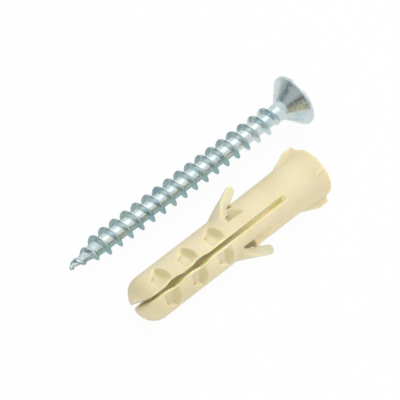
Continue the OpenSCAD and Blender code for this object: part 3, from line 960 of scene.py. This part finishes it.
# Cards that only gloss sees: name, place, point that they face, width and height, and shade
CARDS = (("light_card", (0.28, 0.04, 0.42), (0, 0, 0), (0.45, 0.45), (1.9, 1.9, 1.9)),
         ("side_card", (-0.18, 0.32, 0.07), (0.02, 0.01, 0.07), (0.20, 0.12), (0.44, 0.48, 0.49)),
         ("wall_card", (-0.31, 0.25, 0.19), (0.02, 0.01, 0.19), (0.22, 0.20), (0.15, 0.175, 0.18)),
         ("middle_card", (-0.32, 0.05, 0.19), (0.02, 0.01, 0.19), (0.22, 0.20), (0.56, 0.56, 0.56)),
         ("low_card", (-0.31, 0.04, 0.045), (0.02, 0.01, 0.045), (0.22, 0.09), (0.10, 0.15, 0.15)),
         ("room_card", (-0.31, -0.14, 0.09), (0.02, 0.01, 0.09), (0.17, 0.17), (0.11, 0.10, 0.10)),
         ("floor_card", (-0.14, 0.035, 0.0006), (-0.14, 0.035, 1), (0.30, 0.03), (0.24, 0.36, 0.37)),
         ("near_card", (-0.024, 0.010, 0.0006), (-0.024, 0.010, 1), (0.072, 0.020), (0.46, 0.59, 0.58)))
FLOOR_SIDE, FLOOR_GREY = 4, 0.86
SKY_SHADE, SKY_STRENGTH = (0.95, 0.97, 1.0), 0.55
SENSOR, PICTURE = 36, 400  # width of the sensor in millimetres, and of the photo in pixels


def hung(name, data, place):
    """A lamp at its place, which gloss doesn't see."""
    lamp = bpy.data.objects.new(name, data)
    bpy.context.scene.collection.objects.link(lamp)
    lamp.location = place
    lamp.visible_glossy = False
    return lamp


def area_lamp(name, place, size, watts):
    """A soft lamp that points at the pair."""
    data = bpy.data.lights.new(name, "AREA")
    data.shape = "SQUARE"
    data.size = size
    data.energy = watts
    lamp = hung(name, data, place)
    lamp.rotation_euler = (-Vector(place)).to_track_quat("-Z", "Y").to_euler()
    return lamp


def bore_lamp(name, place, watts, tint):
    """A faint lamp in the bore, for the light that comes through the plug's wall into the slot."""
    data = bpy.data.lights.new(name, "POINT")
    data.shadow_soft_size = 0.3 * MM
    data.energy = watts
    data.color = (1.0, tint, tint)
    lamp = hung(name, data, place)
    lamp.visible_camera = False
    return lamp


def gloss_card(name, place, aim, size, shade):
    """A studio card that only gloss sees: a darker or a lighter thing for the bright metal to mirror."""
    card = added(bpy.ops.mesh.primitive_plane_add, size=1)
    card.name = card.data.name = name
    card.scale = (size[0], size[1], 1)
    card.rotation_euler = (Vector(aim) - Vector(place)).to_track_quat("Z", "Y").to_euler()
    card.location = place
    for ray in ("camera", "diffuse", "transmission", "volume_scatter", "shadow"):
        setattr(card, "visible_" + ray, False)
    material, _, shader = new_material(name)
    shader.inputs["Base Color"].default_value = (0, 0, 0, 1)
    shader.inputs["Roughness"].default_value = 1.0
    shader.inputs["Specular IOR Level"].default_value = 0.0
    shader.inputs["Emission Color"].default_value = (*shade, 1)
    shader.inputs["Emission Strength"].default_value = 1.0
    card.data.materials.append(material)
    return card


def white_where_seen(tree, kind, lit_socket, output_socket, portion=None):
    """Mixes a plain white for camera, gloss and transmission rays over what lights the object."""
    path = tree.nodes.new("ShaderNodeLightPath")
    most = path.outputs["Is Camera Ray"]
    for other in ("Is Glossy Ray", "Is Transmission Ray"):
        most = maths(tree, "MAXIMUM", most, path.outputs[other])
    if portion is not None:
        most = maths(tree, "MULTIPLY", most, portion)
    white = tree.nodes.new(kind)
    white.inputs["Color"].default_value = (1, 1, 1, 1)
    white.inputs["Strength"].default_value = 1.0
    mix = tree.nodes.new("ShaderNodeMixShader")
    tree.links.new(most, mix.inputs["Fac"])
    tree.links.new(lit_socket, mix.inputs[1])
    tree.links.new(white.outputs[0], mix.inputs[2])
    tree.links.new(mix.outputs[0], output_socket)


def open_floor(tree, middle, yaw, reach, white, strip_white):
    """Share of white of the floor: less in a strip under the plug, which keeps more of its own shade."""
    places = own_places(tree, (*middle, 0), (0, 0, yaw))
    away = [share(tree, maths(tree, "ABSOLUTE", place), half - MM, half + 0.2 * MM)
            for place, half in zip(places, reach)]
    return from_to(tree, maths(tree, "MAXIMUM", *away), strip_white, white)


class WALLPLUG_OT_stage(Operator):
    """Sets the pale floor, the soft studio light and the camera"""

    bl_idname = "wall_plug.stage"
    bl_label = "Stage"

    def execute(self, context):
        g = context.scene.wall_plug_stage
        floor = added(bpy.ops.mesh.primitive_plane_add, size=FLOOR_SIDE)
        floor.name = floor.data.name = "floor"
        material, tree, shader = new_material("pale_floor")
        shader.inputs["Base Color"].default_value = (*grey(FLOOR_GREY), 1)
        shader.inputs["Roughness"].default_value = 0.9
        shader.inputs["Specular IOR Level"].default_value = 0.0
        low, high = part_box("wall_plug")
        plug = context.scene.wall_plug_plug
        middle = ((low.x + high.x) / 2, (low.y + high.y) / 2 + g.strip_shift)
        reach = ((high.x - low.x) / 2 - g.strip_width / 2, g.strip_width / 2)
        portion = open_floor(tree, middle, plug.yaw, reach, g.floor_white, g.strip_white)
        white_where_seen(tree, "ShaderNodeEmission", shader.outputs[0],
                         tree.nodes["Material Output"].inputs["Surface"], portion)
        floor.data.materials.append(material)

        world = context.scene.world or bpy.data.worlds.new("world")
        context.scene.world = world
        world.use_nodes = True
        sky = world.node_tree.nodes["Background"]
        sky.inputs["Color"].default_value = (*SKY_SHADE, 1)
        sky.inputs["Strength"].default_value = SKY_STRENGTH
        white_where_seen(world.node_tree, "ShaderNodeBackground", sky.outputs[0],
                         world.node_tree.nodes["World Output"].inputs["Surface"])

        for lamp in LAMPS:
            area_lamp(*lamp)
        for z, watts, tint in BORE_LAMPS:
            bore_lamp("bore_lamp", PLACES["plug"] @ Vector((0, 0, z)) * MM, watts, tint)
        for card in CARDS:
            gloss_card(*card)

        level = math.cos(g.elevation)
        toward = Vector((math.sin(g.azimuth) * level, -math.cos(g.azimuth) * level, math.sin(g.elevation)))
        data = bpy.data.cameras.new("camera")
        data.sensor_width = SENSOR
        data.lens = g.scale * (g.distance / MM) * SENSOR / PICTURE
        data.clip_start, data.clip_end = 0.01, 20
        camera = bpy.data.objects.new("camera", data)
        context.scene.collection.objects.link(camera)
        camera.location = Vector((g.aim_x, g.aim_y, g.aim_z)) + toward * g.distance
        camera.rotation_euler = (-toward).to_track_quat("-Z", "Y").to_euler()
        context.scene.camera = camera
        context.scene.view_settings.view_transform = "Standard"
        return {"FINISHED"}


class WALLPLUG_PT_panel(Panel):
    """The pieces and the stage, in the order in which they are made"""

    bl_idname = "WALLPLUG_PT_panel"
    bl_label = "Wall plug with screw"
    bl_space_type = "VIEW_3D"
    bl_region_type = "UI"
    bl_category = "Wall plug"

    def draw(self, context):
        for operator in (WALLPLUG_OT_screw, WALLPLUG_OT_plug, WALLPLUG_OT_stage):
            self.layout.operator(operator.bl_idname)


CLASSES = (WALLPLUG_PG_screw, WALLPLUG_PG_plug, WALLPLUG_PG_finish, WALLPLUG_PG_stage,
           WALLPLUG_OT_screw, WALLPLUG_OT_plug, WALLPLUG_OT_stage, WALLPLUG_PT_panel)
GROUPS = {"wall_plug_screw": WALLPLUG_PG_screw, "wall_plug_plug": WALLPLUG_PG_plug,
          "wall_plug_finish": WALLPLUG_PG_finish, "wall_plug_stage": WALLPLUG_PG_stage}


def register():
    """Registers the classes and their settings."""
    for cls in CLASSES:
        bpy.utils.register_class(cls)
    for name, group in GROUPS.items():
        setattr(bpy.types.Scene, name, PointerProperty(type=group))


def unregister():
    """Takes them away again."""
    for name in GROUPS:
        delattr(bpy.types.Scene, name)
    for cls in reversed(CLASSES):
        bpy.utils.unregister_class(cls)


def main():
    """Makes the pieces and the stage."""
    register()
    bpy.ops.wall_plug.screw()
    bpy.ops.wall_plug.plug()
    bpy.ops.wall_plug.stage()
    bpy.context.view_layer.update()


if __name__ == "__main__":
    main()
